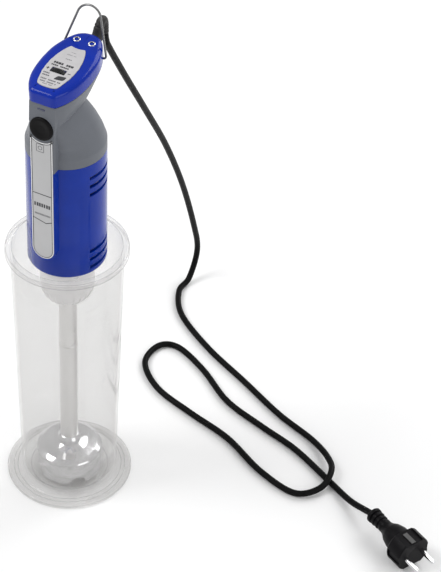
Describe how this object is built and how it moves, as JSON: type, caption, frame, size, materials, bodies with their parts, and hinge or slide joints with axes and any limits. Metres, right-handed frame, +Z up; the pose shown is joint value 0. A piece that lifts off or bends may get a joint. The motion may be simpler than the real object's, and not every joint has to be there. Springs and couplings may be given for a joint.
{
  "type": "stick blender with beaker",
  "caption": "Hand-held commercial immersion blender standing in its clear mixing beaker, with its cord and mains plug laid on the table.",
  "frame": {"origin": "centre of the beaker's base, on the table", "axes": "+Z up along the shaft; the button and the label strip face -Y"},
  "size_m": [0.4308, 0.3741, 0.5162],
  "materials": {
    "clear_plastic": "clear polycarbonate, polished",
    "blue_plastic": "royal blue, glossy moulded",
    "grey_plastic": "mid grey, fine spark texture",
    "pale_plastic": "light grey, satin",
    "steel": "satin stainless",
    "bright_steel": "polished stainless",
    "black_rubber": "matt black rubber",
    "dark_rubber": "dark grey rubber",
    "black_plastic": "black moulded plastic",
    "label": "printed silver foil label",
    "lens": "dark blue translucent lens",
    "aluminium": "die cast",
    "core_steel": "laminated core, varnished",
    "copper": "enamelled copper",
    "brass": "turned brass",
    "carbon": "pressed carbon",
    "board": "green laminate",
    "yellow_plastic": "yellow film box",
    "white_plastic": "white nylon"
  },
  "bodies": {
    "beaker": {"beaker": "clear_plastic", "beaker_foot": "clear_plastic"},
    "mixer": {"lower_casing": "blue_plastic", "upper_casing": "grey_plastic", "casing_gasket": "black_rubber", "head_cap": "blue_plastic", "cap_gasket": "black_rubber", "head_label": "label", "cap_screws": "bright_steel", "front_strip": "label", "indicator_lens": "lens", "button_seal": "black_rubber", "button_spring": "steel", "micro_switch": "black_plastic", "switch_bracket": "steel", "potentiometer": "blue_plastic", "control_board": "board", "suppression_capacitor": "yellow_plastic", "triac_heatsink": "aluminium", "terminal_block": "white_plastic", "cord_clamp": "black_plastic", "clamp_screws": "steel", "strain_relief": "dark_rubber", "loop_bushes": "black_plastic", "upper_bracket": "aluminium", "upper_bearing": "steel", "lower_bracket": "aluminium", "lower_bearing": "steel", "stator_core": "core_steel", "field_coils": "copper", "brush_holders": "brass", "carbon_brushes": "carbon", "brush_springs": "steel", "nose_cone": "pale_plastic", "nose_screws": "steel", "shaft_tube": "bright_steel", "tube_collar": "bright_steel", "upper_bush": "brass", "lower_bush": "brass", "shaft_seal": "black_rubber", "bell": "steel", "casing_screws": "steel", "power_cord": "black_rubber", "plug_body": "black_rubber", "plug_pins": "bright_steel", "plug_earth_contacts": "bright_steel"},
    "rotor": {"rotor_core": "core_steel", "rotor_windings": "copper", "commutator": "copper", "motor_shaft": "steel", "cooling_fan": "black_plastic", "drive_coupling": "brass", "drive_shaft": "steel", "blade": "steel", "blade_nut": "steel"},
    "wheel": {"speed_wheel": "black_plastic", "wheel_axle": "white_plastic"},
    "button": {"button": "black_rubber"},
    "loop": {"hanging_loop": "steel"}
  },
  "joints": [
    {"name": "mixer_lift", "type": "slide", "parent": "beaker", "child": "mixer", "axis": [0, 0, 1], "range_m": [0, 0.3]},
    {"name": "button_press", "type": "slide", "parent": "mixer", "child": "button", "axis": [0, 0.9976, -0.0698], "range_m": [0, 0.003], "stiffness_N_per_m": 300, "springref_m": -0.004, "deforming": ["button_spring"]},
    {"name": "speed_wheel_turn", "type": "hinge", "parent": "mixer", "child": "wheel", "pos_m": [-0.0004, -0.01035, 0.47043], "axis": [0, 0.9968, 0.0802], "range_deg": [-135, 135]},
    {"name": "rotor_spin", "type": "hinge", "parent": "mixer", "child": "rotor", "pos_m": [0, 0, 0.3], "axis": [0, 0, 1], "continuous": true},
    {"name": "loop_swing", "type": "hinge", "parent": "mixer", "child": "loop", "pos_m": [0, 0.033, 0.4732], "axis": [1, 0, 0], "range_deg": [-36, 20]}
  ]
}
